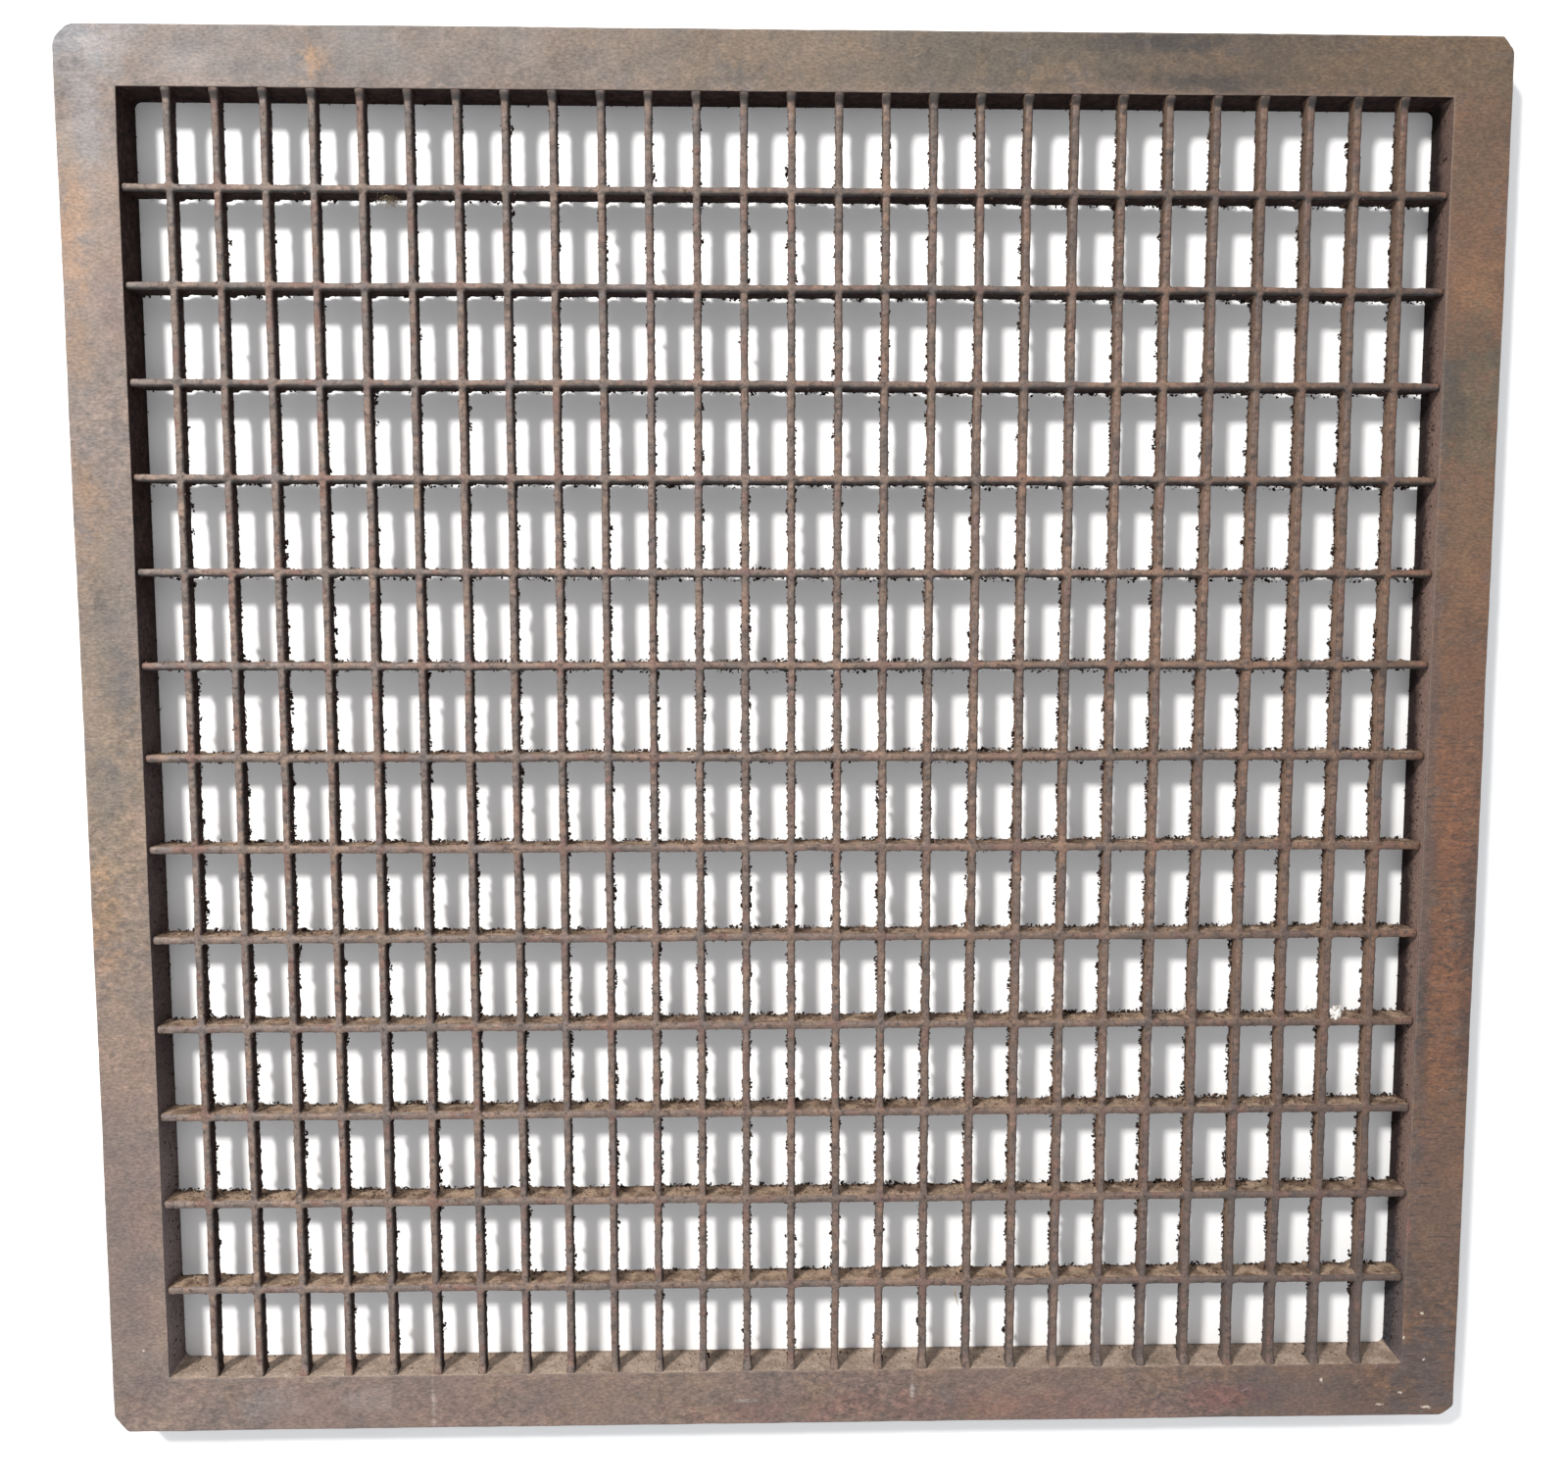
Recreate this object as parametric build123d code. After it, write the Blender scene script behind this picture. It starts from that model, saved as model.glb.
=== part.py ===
from build123d import *
import os

# Cold-air floor grate: a square flanged rim round a lattice of long bars and cross bars.
# The grate lies face up. X runs across the long bars, Y runs along them, and Z is up.
# The origin is under the centre of the grate, level with the rear edge of the rim's wall.
# All sizes are in millimetres.

# ---- Driving dimensions ----------------------------------------------------------------

OVERALL_SIDE = 762.0          # 30 in square over the flange
BORDER_WIDTH = 31.75          # 1 1/4 in of plain flange on every side
TOTAL_DEPTH = 25.4            # 1 in from the face of the flange to the rear edge of the wall
FLANGE_THICKNESS = 4.8        # 3/16 in
WALL_THICKNESS = 5.0          # at the flange
WALL_DRAFT = 1.0              # the wall is this much thinner at its rear edge

OUTER_CORNER_CUT = 6.5        # the flange's four corners are clipped at 45 degrees
OUTER_CORNER_BLEND = 5.0      # radius where the clip meets the sides
FACE_EDGE_RADIUS = 1.0        # worn edge round the outside of the face
INNER_CORNER_FRONT = 0.8      # the opening's corners are nearly sharp at the face
INNER_CORNER_REAR = 4.0       # and open into a fillet at the rear edge

CELL_COLUMNS = 28             # cells across X
CELL_ROWS = 14                # cells along Y

CROWN_RECESS = 2.0            # the crowns of the bars lie this far below the face
CROWN_HEIGHT = 1.3            # rise of the round crown
LONG_BAR_WIDTH = 3.7
LONG_BAR_REAR_WIDTH = 2.9
LONG_BAR_DEPTH = 8.5
CROSS_BAR_WIDTH = 3.8
CROSS_BAR_REAR_WIDTH = 2.9
CROSS_BAR_DEPTH = 16.0        # about 5/8 in: the cross bars carry the load

NOTCH_CLEARANCE = 0.05        # each side, where a long bar drops into a cross bar
TENON_LENGTH = 2.5            # each bar is let into the rim's wall by this much
TENON_WIDTH = 2.4
TENON_ROOT = 1.0              # overlap of the tenon with its own bar before they are joined
TENON_SHOULDER = 2.5          # the tenon starts this far below the crown
TENON_HEEL = 1.0              # and ends this far above the rear edge of the bar

# ---- Derived sizes ---------------------------------------------------------------------

OPENING_SIDE = OVERALL_SIDE - 2 * BORDER_WIDTH
HALF_OPENING = OPENING_SIDE / 2
COLUMN_PITCH = OPENING_SIDE / CELL_COLUMNS
ROW_PITCH = OPENING_SIDE / CELL_ROWS
CROWN_Z = TOTAL_DEPTH - CROWN_RECESS
LONG_BAR_REAR_Z = CROWN_Z - LONG_BAR_DEPTH
CROSS_BAR_REAR_Z = CROWN_Z - CROSS_BAR_DEPTH

LONG_BAR_PLACES = [COLUMN_PITCH * i - HALF_OPENING for i in range(1, CELL_COLUMNS)]
CROSS_BAR_PLACES = [ROW_PITCH * j - HALF_OPENING for j in range(1, CELL_ROWS)]

# Sections are drawn in a plane whose own X is across the bar and whose own Y is up.
ACROSS_LONG_BAR = Plane(origin=(0, -HALF_OPENING, 0), x_dir=(1, 0, 0), z_dir=(0, -1, 0))
ACROSS_CROSS_BAR = Plane(origin=(-HALF_OPENING, 0, 0), x_dir=(0, 1, 0), z_dir=(1, 0, 0))


# ---- Bars ------------------------------------------------------------------------------

def bar_section(plane, width, rear_width, rear_z):
    """Tapering bar section with a round crown, drawn in the given plane."""
    shoulder_z = CROWN_Z - CROWN_HEIGHT
    rear_left = (-rear_width / 2, rear_z)
    rear_right = (rear_width / 2, rear_z)
    shoulder_right = (width / 2, shoulder_z)
    shoulder_left = (-width / 2, shoulder_z)
    outline = [
        Line(rear_left, rear_right),
        Line(rear_right, shoulder_right),
        ThreePointArc(shoulder_right, (0, CROWN_Z), shoulder_left),
        Line(shoulder_left, rear_left),
    ]
    return plane * make_face(Curve() + outline)


def tenons(along, centre, rear_z):
    """The blocks at both ends of a bar, from inside the bar to their ends in the rim's wall."""
    low = rear_z + TENON_HEEL
    high = CROWN_Z - TENON_SHOULDER
    inner_end = HALF_OPENING - TENON_ROOT
    outer_end = HALF_OPENING + TENON_LENGTH
    reach = outer_end - inner_end
    middle = (inner_end + outer_end) / 2
    height = high - low
    middle_z = (high + low) / 2
    if along == "Y":
        block = Box(TENON_WIDTH, reach, height)
        return [Pos(centre, side * middle, middle_z) * block for side in (-1, 1)]
    block = Box(reach, TENON_WIDTH, height)
    return [Pos(side * middle, centre, middle_z) * block for side in (-1, 1)]


def long_bar(x):
    """Shallow bar along Y. It lies in the notches of every cross bar."""
    section = bar_section(ACROSS_LONG_BAR, LONG_BAR_WIDTH, LONG_BAR_REAR_WIDTH, LONG_BAR_REAR_Z)
    bar = Pos(x, 0, 0) * extrude(section, amount=-OPENING_SIDE)
    for tenon in tenons("Y", x, LONG_BAR_REAR_Z):
        bar = bar + tenon
    return bar


def notch_cutter():
    """Tapering slot from above the crown down to the rear edge of a long bar."""
    slope = (LONG_BAR_WIDTH - LONG_BAR_REAR_WIDTH) / (LONG_BAR_DEPTH - CROWN_HEIGHT)
    top_z = TOTAL_DEPTH
    low_half = LONG_BAR_REAR_WIDTH / 2 + NOTCH_CLEARANCE
    high_half = low_half + slope * (top_z - LONG_BAR_REAR_Z) / 2
    corners = [
        (-low_half, LONG_BAR_REAR_Z),
        (low_half, LONG_BAR_REAR_Z),
        (high_half, top_z),
        (-high_half, top_z),
    ]
    face = make_face(Polyline(*corners, close=True))
    section = Plane(origin=(0, -CROSS_BAR_WIDTH, 0), x_dir=(1, 0, 0), z_dir=(0, -1, 0)) * face
    return extrude(section, amount=-2 * CROSS_BAR_WIDTH)


def cross_bar():
    """Deep bar along X at Y = 0, notched from the front for the long bars."""
    section = bar_section(ACROSS_CROSS_BAR, CROSS_BAR_WIDTH, CROSS_BAR_REAR_WIDTH, CROSS_BAR_REAR_Z)
    bar = extrude(section, amount=OPENING_SIDE)
    for tenon in tenons("X", 0, CROSS_BAR_REAR_Z):
        bar = bar + tenon
    slot = notch_cutter()
    return bar - [Pos(x, 0, 0) * slot for x in LONG_BAR_PLACES]


# ---- Rim -------------------------------------------------------------------------------

def clipped_square(side):
    """Square with its corners clipped and blended."""
    square = Rectangle(side, side)
    clipped = chamfer(square.vertices(), OUTER_CORNER_CUT)
    return fillet(clipped.vertices(), OUTER_CORNER_BLEND)


def rim():
    """One ring: a flat flange with a wall dropping from its inner edge."""
    flange_rear_z = TOTAL_DEPTH - FLANGE_THICKNESS
    flange = Pos(0, 0, flange_rear_z) * extrude(clipped_square(OVERALL_SIDE), amount=FLANGE_THICKNESS)
    face_edges = flange.faces().sort_by(Axis.Z)[-1].outer_wire().edges()
    flange = fillet(face_edges, FACE_EDGE_RADIUS)

    wall_side = OPENING_SIDE + 2 * WALL_THICKNESS
    wall_top = Plane.XY.offset(flange_rear_z) * RectangleRounded(wall_side, wall_side, WALL_THICKNESS)
    rear_side = wall_side - 2 * WALL_DRAFT
    wall_rear = RectangleRounded(rear_side, rear_side, WALL_THICKNESS)
    wall = loft([wall_rear, wall_top])

    opening_rear = RectangleRounded(OPENING_SIDE, OPENING_SIDE, INNER_CORNER_REAR)
    opening_front = Plane.XY.offset(TOTAL_DEPTH) * RectangleRounded(
        OPENING_SIDE, OPENING_SIDE, INNER_CORNER_FRONT)
    opening = loft([opening_rear, opening_front])

    ring = flange + wall - opening
    sockets = []
    for x in LONG_BAR_PLACES:
        sockets += tenons("Y", x, LONG_BAR_REAR_Z)
    for y in CROSS_BAR_PLACES:
        sockets += tenons("X", y, CROSS_BAR_REAR_Z)
    return ring - sockets


# ---- Write one file per piece ----------------------------------------------------------

def save(shape, node):
    export_step(shape, "parts/" + node + ".step")


os.makedirs("parts", exist_ok=True)
save(rim(), "rim")
for number, x in enumerate(LONG_BAR_PLACES, start=1):
    save(long_bar(x), "long_bar_%02d" % number)
notched_bar = cross_bar()
for number, y in enumerate(CROSS_BAR_PLACES, start=1):
    save(Pos(0, y, 0) * notched_bar, "cross_bar_%02d" % number)
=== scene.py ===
import math

import bpy
import numpy as np
from mathutils import Matrix, Vector


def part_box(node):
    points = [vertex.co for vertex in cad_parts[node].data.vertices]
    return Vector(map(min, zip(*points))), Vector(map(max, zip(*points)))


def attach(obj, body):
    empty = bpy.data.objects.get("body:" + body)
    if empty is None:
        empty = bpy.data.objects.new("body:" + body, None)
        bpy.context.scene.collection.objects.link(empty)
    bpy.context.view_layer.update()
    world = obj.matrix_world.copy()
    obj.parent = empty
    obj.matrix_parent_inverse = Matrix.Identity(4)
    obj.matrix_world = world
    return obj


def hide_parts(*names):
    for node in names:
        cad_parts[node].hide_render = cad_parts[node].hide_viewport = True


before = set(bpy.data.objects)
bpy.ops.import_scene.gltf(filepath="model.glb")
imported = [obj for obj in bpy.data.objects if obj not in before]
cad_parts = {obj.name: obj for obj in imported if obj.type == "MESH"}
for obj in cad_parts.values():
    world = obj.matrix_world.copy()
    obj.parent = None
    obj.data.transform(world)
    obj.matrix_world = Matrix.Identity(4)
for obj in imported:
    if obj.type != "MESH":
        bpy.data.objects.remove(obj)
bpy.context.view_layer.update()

# The floor grate lies face up: X across the long bars, Y along them, Z up, in metres. The metal's
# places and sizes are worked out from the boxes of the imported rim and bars.

MM = 0.001

RIM_LOW, RIM_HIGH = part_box("rim")
FACE_Z = RIM_HIGH.z
HALF_SIDE = RIM_HIGH.x

LONG_BARS = sorted(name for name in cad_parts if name.startswith("long_bar_"))
CROSS_BARS = sorted(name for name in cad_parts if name.startswith("cross_bar_"))


def centre_of(node, axis):
    low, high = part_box(node)
    return (low[axis] + high[axis]) / 2


LONG_X = np.array([centre_of(name, 0) for name in LONG_BARS])
CROSS_Y = np.array([centre_of(name, 1) for name in CROSS_BARS])
HALF_OPENING = LONG_X[-1] + LONG_X[1] - LONG_X[0]
BORDER = HALF_SIDE - HALF_OPENING
LONG_LOW, LONG_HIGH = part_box(LONG_BARS[0])
CROSS_LOW, CROSS_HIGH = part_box(CROSS_BARS[0])
CROWN_Z = LONG_HIGH.z
LONG_REAR_Z = LONG_LOW.z
CROSS_REAR_Z = CROSS_LOW.z
LONG_WIDTH = LONG_HIGH.x - LONG_LOW.x
CROSS_WIDTH = CROSS_HIGH.y - CROSS_LOW.y


def added(name, data):
    """A new object in the scene."""
    obj = bpy.data.objects.new(name, data)
    bpy.context.scene.collection.objects.link(obj)
    return obj


# ---- Camera ------------------------------

CAMERA_OVER_FACE = 0.784
CAMERA_X, CAMERA_Y = -0.0226, 0.0838
AIM_X, AIM_Y = -0.0041, 0.0093
LENS_MM, SENSOR_MM = 33.3, 36.0
NEAR, FAR = 0.01, 50.0


def make_camera():
    data = bpy.data.cameras.new("camera")
    data.sensor_fit = "HORIZONTAL"
    data.sensor_width = SENSOR_MM
    data.lens = LENS_MM
    data.clip_start = NEAR
    data.clip_end = FAR
    camera = added("camera", data)
    place = Vector((CAMERA_X, CAMERA_Y, FACE_Z + CAMERA_OVER_FACE))
    aim = Vector((AIM_X, AIM_Y, FACE_Z))
    back = (place - aim).normalized()
    right = Vector((0, 1, 0)).cross(back).normalized()
    up = back.cross(right)
    turn = Matrix((right, up, back)).transposed().to_4x4()
    camera.matrix_world = Matrix.Translation(place) @ turn
    bpy.context.scene.camera = camera


# ---- Smooth random fields ----------------

def lattice_value(ix, iy, iz, seed):
    """Repeatable random value from -1 to 1 for each lattice point."""
    mask = np.int64(0xFFFFFFFF)
    n = (ix * 374761393 + iy * 668265263 + iz * 1103515245 + seed * 974711) & mask
    n = ((n ^ (n >> 13)) * 1274126177) & mask
    n = ((n ^ (n >> 16)) * 668265263) & mask
    return ((n >> 8) & 0xFFFF) / 32767.5 - 1.0


def noise(points, size, seed):
    """Smooth noise from about -1 to 1 at an (N, 3) array of points, with features of that size."""
    p = points / size
    base = np.floor(p).astype(np.int64)
    f = p - base
    f = f * f * (3 - 2 * f)
    total = np.zeros(len(p))
    for dx in (0, 1):
        wx = f[:, 0] if dx else 1 - f[:, 0]
        for dy in (0, 1):
            wy = f[:, 1] if dy else 1 - f[:, 1]
            for dz in (0, 1):
                wz = f[:, 2] if dz else 1 - f[:, 2]
                corner = lattice_value(base[:, 0] + dx, base[:, 1] + dy, base[:, 2] + dz, seed)
                total += wx * wy * wz * corner
    return total


def layers(points, strengths, seed):
    """The sum of smooth noises, each given as (strength, size), with one seed after another."""
    total = np.zeros(len(points))
    for number, (strength, size) in enumerate(strengths):
        total += strength * noise(points, size, seed + number)
    return total


def rise(value, low, high):
    """Smooth step from 0 at low to 1 at high."""
    t = np.clip((value - low) / (high - low), 0, 1)
    return t * t * (3 - 2 * t)


# ---- Meshes ------------------------------

HEADROOM = 0.4 * MM  # points nearer than this to the face's level or the floor are eased back
HEADROOM_SHARE = 0.9  # and take up at most this share of it


def eased_inside(points):
    """The points with any that pass the face's level or the floor drawn back inside, in order."""
    z = points[:, 2]
    over = np.clip(z - (FACE_Z - HEADROOM), 0, None)
    under = np.clip(RIM_LOW.z + HEADROOM - z, 0, None)
    eased = points.copy()
    eased[:, 2] = z - over + HEADROOM * (1 - np.exp(-over / HEADROOM)) * HEADROOM_SHARE
    eased[:, 2] += under - HEADROOM * (1 - np.exp(-under / HEADROOM)) * HEADROOM_SHARE
    return eased


def add_object(name, shells):
    """One smooth object from closed shells, each as (points, pairs of faces and material)."""
    mesh = bpy.data.meshes.new(name)
    points, corners, sizes, slots = [], [], [], []
    used = 0
    materials = []
    for shell_points, faced in shells:
        for faces, material in faced:
            if material not in materials:
                materials.append(material)
                mesh.materials.append(material)
            corners.append((faces + used).ravel())
            sizes.append(np.full(len(faces), faces.shape[1]))
            slots.append(np.full(len(faces), materials.index(material)))
        points.append(shell_points)
        used += len(shell_points)
    points, corners = np.concatenate(points), np.concatenate(corners)
    sizes, slots = np.concatenate(sizes), np.concatenate(slots)
    starts = np.cumsum(sizes) - sizes
    mesh.vertices.add(len(points))
    mesh.vertices.foreach_set("co", points.astype(np.float32).ravel())
    mesh.loops.add(len(corners))
    mesh.loops.foreach_set("vertex_index", corners.astype(np.int32))
    mesh.polygons.add(len(sizes))
    mesh.polygons.foreach_set("loop_start", starts.astype(np.int32))
    mesh.polygons.foreach_set("material_index", slots.astype(np.int32))
    mesh.polygons.foreach_set("use_smooth", np.ones(len(sizes), dtype=bool))
    mesh.update(calc_edges=True)
    return added(name, mesh)


def tube_faces(stations, around, closed):
    """Quads of a grid of rings, facing outwards where the rings turn clockwise along the tube.
    An open run of rings is capped at both ends."""
    last = stations if closed else stations - 1
    i = np.repeat(np.arange(last), around)
    k = np.tile(np.arange(around), last)
    a, b, n = i * around, ((i + 1) % stations) * around, (k + 1) % around
    arrays = [np.stack([a + k, a + n, b + n, b + k], 1)]
    if not closed:
        ring = np.arange(around)[None, :]
        arrays.append(ring[:, ::-1])
        arrays.append((stations - 1) * around + ring)
    return arrays


# ---- Rust crumbs and lint ----------------

CRUMB_AROUND = 4
CRUMB_GIRTH = 0.85  # radius of a lump's two rings, where its tips are 1 from the middle
CRUMB_WAIST = 0.5  # how far each ring is above or below the middle
CRUMB_TWIST = 0.8  # turn of the lower ring, in radians
CRUMB_BUMPS = (0.65, 1.35)  # each point is this much nearer or farther
CRUMB_STRETCH = (0.55, 1.3)  # and each axis this much shorter or longer
FIBRE_AROUND = 3
FIBRE_POINTS = 5
FIBRE_CURL = 0.45  # spread of the change of heading at each point
SHORT_FIBRE = 0.17 * MM  # thickness of a thread
LONG_FIBRE = 0.20 * MM
SOFT_FIBRE = 0.16 * MM


def crumb_faces():
    """Faces of a small lump: a top point, two rings and a bottom point."""
    a = CRUMB_AROUND
    k = np.arange(a)
    n = (k + 1) % a
    top = np.stack([np.zeros(a, int), 1 + k, 1 + n], 1)
    band = np.stack([1 + k, 1 + a + k, 1 + a + n, 1 + n], 1)
    bottom = np.stack([np.full(a, 1 + 2 * a), 1 + a + n, 1 + a + k], 1)
    return np.concatenate([top, bottom]), band


def crumb_ring(turns, level):
    levels = np.full(CRUMB_AROUND, level)
    return np.stack([CRUMB_GIRTH * np.cos(turns), CRUMB_GIRTH * np.sin(turns), levels], 1)


def crumb_points():
    """Points of a small lump, in the order that crumb_faces takes them."""
    turns = 2 * math.pi * np.arange(CRUMB_AROUND) / CRUMB_AROUND
    upper = crumb_ring(turns, CRUMB_WAIST)
    lower = crumb_ring(turns + CRUMB_TWIST, -CRUMB_WAIST)
    return np.concatenate([[[0, 0, 1]], upper, lower, [[0, 0, -1]]])


def unit(vectors):
    return vectors / np.linalg.norm(vectors, axis=1, keepdims=True)


def random_turns(count, rng):
    """Random rotation matrices."""
    w, x, y, z = unit(rng.normal(size=(count, 4))).T
    return np.stack([
        1 - 2 * (y * y + z * z), 2 * (x * y - z * w), 2 * (x * z + y * w),
        2 * (x * y + z * w), 1 - 2 * (x * x + z * z), 2 * (y * z - x * w),
        2 * (x * z - y * w), 2 * (y * z + x * w), 1 - 2 * (x * x + y * y),
    ], 1).reshape(count, 3, 3)


def shell_of(points, face_sets, material):
    """One shell from many small closed shapes of the same build, given as (shapes, points, 3)."""
    first = (np.arange(len(points)) * points.shape[1])[:, None, None]
    faced = [((faces[None] + first).reshape(-1, faces.shape[1]), material) for faces in face_sets]
    return eased_inside(points.reshape(-1, 3)), faced


def crumbs(places, sizes, material, rng):
    """Angular lumps of rust or dirt."""
    count = len(places)
    shape = crumb_points()[None] * rng.uniform(*CRUMB_BUMPS, (count, 2 + 2 * CRUMB_AROUND, 1))
    shape = shape * rng.uniform(*CRUMB_STRETCH, (count, 1, 3)) * sizes[:, None, None]
    points = places[:, None] + np.einsum("nij,nkj->nki", random_turns(count, rng), shape)
    return shell_of(points, crumb_faces(), material)


def fibres(roots, headings, lengths, thickness, material, rng):
    """Curling threads of lint, each a closed tube that comes to a point at both ends."""
    count = len(roots)
    step = (lengths / (FIBRE_POINTS - 1))[:, None]
    heading = unit(headings)
    line = [roots]
    for _ in range(FIBRE_POINTS - 1):
        heading = unit(heading + rng.normal(0, FIBRE_CURL, (count, 3)))
        line.append(line[-1] + heading * step)
    span = line[-1] - line[0]
    side = unit(np.cross(span, rng.normal(size=(count, 3))))
    other = np.cross(unit(span), side)
    parts = [line[0][:, None]]
    for centre in line[1:-1]:
        for k in range(FIBRE_AROUND):
            angle = 2 * math.pi * k / FIBRE_AROUND
            offset = side * math.cos(angle) + other * math.sin(angle)
            parts.append((centre + offset * thickness / 2)[:, None])
    parts.append(line[-1][:, None])
    points = np.concatenate(parts, 1)
    a = FIBRE_AROUND
    k = np.arange(a)
    n = (k + 1) % a
    rings = FIBRE_POINTS - 2
    end = 1 + rings * a
    start_fan = np.stack([np.zeros(a, int), 1 + n, 1 + k], 1)
    end_fan = np.stack([1 + (rings - 1) * a + k, 1 + (rings - 1) * a + n, np.full(a, end)], 1)
    quads = [np.stack([1 + r * a + k, 1 + r * a + n, 1 + (r + 1) * a + n, 1 + (r + 1) * a + k], 1)
             for r in range(rings - 1)]
    face_sets = (np.concatenate([start_fan, end_fan]), np.concatenate(quads))
    return shell_of(points, face_sets, material)


def dirt(along, place, s):
    """How much rust and lint hangs on a bar at places along it, 0 to 1: more towards the front and
    the right, and less in the frontmost rows."""
    x, y = (place, s) if along == 1 else (s, place)
    towards_front = rise(-y, -0.26, 0.02)
    swept = rise(-y, 0.24, 0.33)
    to_right = rise(x, -0.25, 0.25)
    return np.clip(0.30 + 0.45 * towards_front + 0.30 * to_right - 0.45 * swept, 0.1, 1.0)


def on_bar(along, place, s, across, z):
    """Points given along and across a bar that lies at that place. Along is 0 for X and 1 for Y."""
    if along == 1:
        return np.stack([place + across, s, z], 1)
    return np.stack([s, place + across, z], 1)


CRUMBS_PER_METRE = 3900
TUFTS_PER_METRE = 95
CRUMBS_PER_TUFT = 12
FIBRES_PER_METRE = 1000
FLAKES_PER_METRE = 1100
LONG_CRUST_REACH = 1.4 * MM
CROSS_CRUST_REACH = 2.1 * MM
FRONT_CRUST = 1.7  # a cross bar's crust reaches this many times farther on its -Y side
CLUMP_SIZE = 6 * MM


def rear_crust(along, place, half, rear_z, reach, seed):
    """Rust scale and lint built up on both rear edges of a bar, out to that reach, and a few
    flakes just under its crown."""
    rng = np.random.default_rng(seed)
    shells = []

    def spread(per_metre):
        count = int(per_metre * 2 * HALF_OPENING)
        s = rng.uniform(-HALF_OPENING, HALF_OPENING, count)
        line = np.stack([s + place, 0 * s, 0 * s], 1)
        clumps = np.clip(0.72 + 0.9 * noise(line, CLUMP_SIZE, seed), 0.34, 1)
        amount = dirt(along, place, s) * clumps
        kept = rng.random(count) < amount
        return s[kept], amount[kept], rng.choice([-1.0, 1.0], int(kept.sum()))

    def lay(s, across, z, size, material):
        shells.append(crumbs(on_bar(along, place, s, across, z), size, material, rng))

    s, amount, side = spread(CRUMBS_PER_METRE)
    count = len(s)
    farther = FRONT_CRUST if along == 0 else 1.0
    reach_here = reach * np.where(side < 0, farther, 1.0)
    across = side * (half + reach_here * amount * rng.random(count) ** 1.1)
    z = rear_z + rng.uniform(-1.2, 2.4, count) * MM
    size = (0.32 + 0.70 * rng.random(count) ** 2.6) * MM
    lay(s, across, z, size, CRUST)

    s, _, side = spread(FLAKES_PER_METRE)
    count = len(s)
    across = side * (half / REAR_SHARE + rng.uniform(-0.05, 0.30, count) * MM)
    z = CROWN_Z - rng.uniform(1.0, 5.0, count) * MM
    size = (0.24 + 0.50 * rng.random(count) ** 2) * MM
    lay(s, across, z, size, FLAKES)

    s, _, side = spread(TUFTS_PER_METRE)
    s = np.repeat(s, CRUMBS_PER_TUFT) + rng.normal(0, 0.9, len(s) * CRUMBS_PER_TUFT) * MM
    side = np.repeat(side, CRUMBS_PER_TUFT)
    count = len(s)
    across = side * (half + rng.uniform(-0.3, 1.5, count) * MM)
    z = rear_z + rng.uniform(-1.9, 0.4, count) * MM
    size = rng.uniform(0.35, 0.85, count) * MM
    lay(s, across, z, size, CRUST)

    s, amount, side = spread(FIBRES_PER_METRE)
    count = len(s)
    root = on_bar(along, place, s, side * half, rear_z + rng.uniform(-0.4, 1.8, count) * MM)
    heading = on_bar(along, 0, rng.normal(0, 0.8, count), side * rng.uniform(0.2, 1.4, count),
                     rng.uniform(-0.7, 0.35, count))
    lengths = rng.uniform(0.8, 3.2, count) * MM * (0.6 + 0.6 * amount)
    shells.append(fibres(root, heading, lengths, SHORT_FIBRE, CRUST, rng))
    return shells


LEDGE_CRUMBS_PER_METRE = 2300
LEDGE_FIBRES_PER_METRE = 1100
HEAP_SIZE = 12 * MM


def ledge_lint(place, half, seed):
    """Lint that has settled in heaps on the +Y side of a cross bar, most of it on the bars in front
    of the middle. Half is half the bar's width at its rear edge."""
    rng = np.random.default_rng(seed)
    settled = rise(-place, -0.08, 0.06) * (1 - 0.85 * rise(-place, 0.22, 0.30)) + 0.05
    count = int(LEDGE_CRUMBS_PER_METRE * 2 * HALF_OPENING * settled)
    x = rng.uniform(-HALF_OPENING, HALF_OPENING, count)
    spot = np.stack([x, np.full(count, place), 0 * x], 1)
    heap = np.clip(0.6 + 1.2 * noise(spot, HEAP_SIZE, seed) + 0.3 * rise(x, -0.3, 0.2), 0, 1.3)
    low, high = CROSS_REAR_Z + 0.3 * MM, CROWN_Z - 3.0 * MM
    z = low + (high - low) * rng.random(count) ** 1.5
    out = half + (0.05 + 0.9 * rng.random(count) ** 1.5) * heap * MM
    size = (0.25 + 0.55 * rng.random(count) ** 2) * heap * MM + 0.1 * MM
    shells = [crumbs(np.stack([x, place + out, z], 1), size, LINT, rng)]

    count = int(LEDGE_FIBRES_PER_METRE * 2 * HALF_OPENING * settled)
    x = rng.uniform(-HALF_OPENING, HALF_OPENING, count)
    z = low + (high - low) * rng.random(count)
    root = np.stack([x, place + half + rng.uniform(0.0, 0.7, count) * MM, z], 1)
    sideways, outwards = rng.normal(0, 1.0, count), rng.uniform(0.0, 0.35, count)
    heading = np.stack([sideways, outwards, rng.normal(0, 0.5, count)], 1)
    lengths = rng.uniform(1.5, 5.5, count) * MM
    shells.append(fibres(root, heading, lengths, LONG_FIBRE, LINT, rng))
    return shells


# The rim's inner walls: (axis that they face along, which end of it, crumbs per metre).
WALLS = ((0, 1, 2300), (1, -1, 500), (0, -1, 1200), (1, 1, 1100))
CRUMBS_PER_WALL_FIBRE = 4


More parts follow.
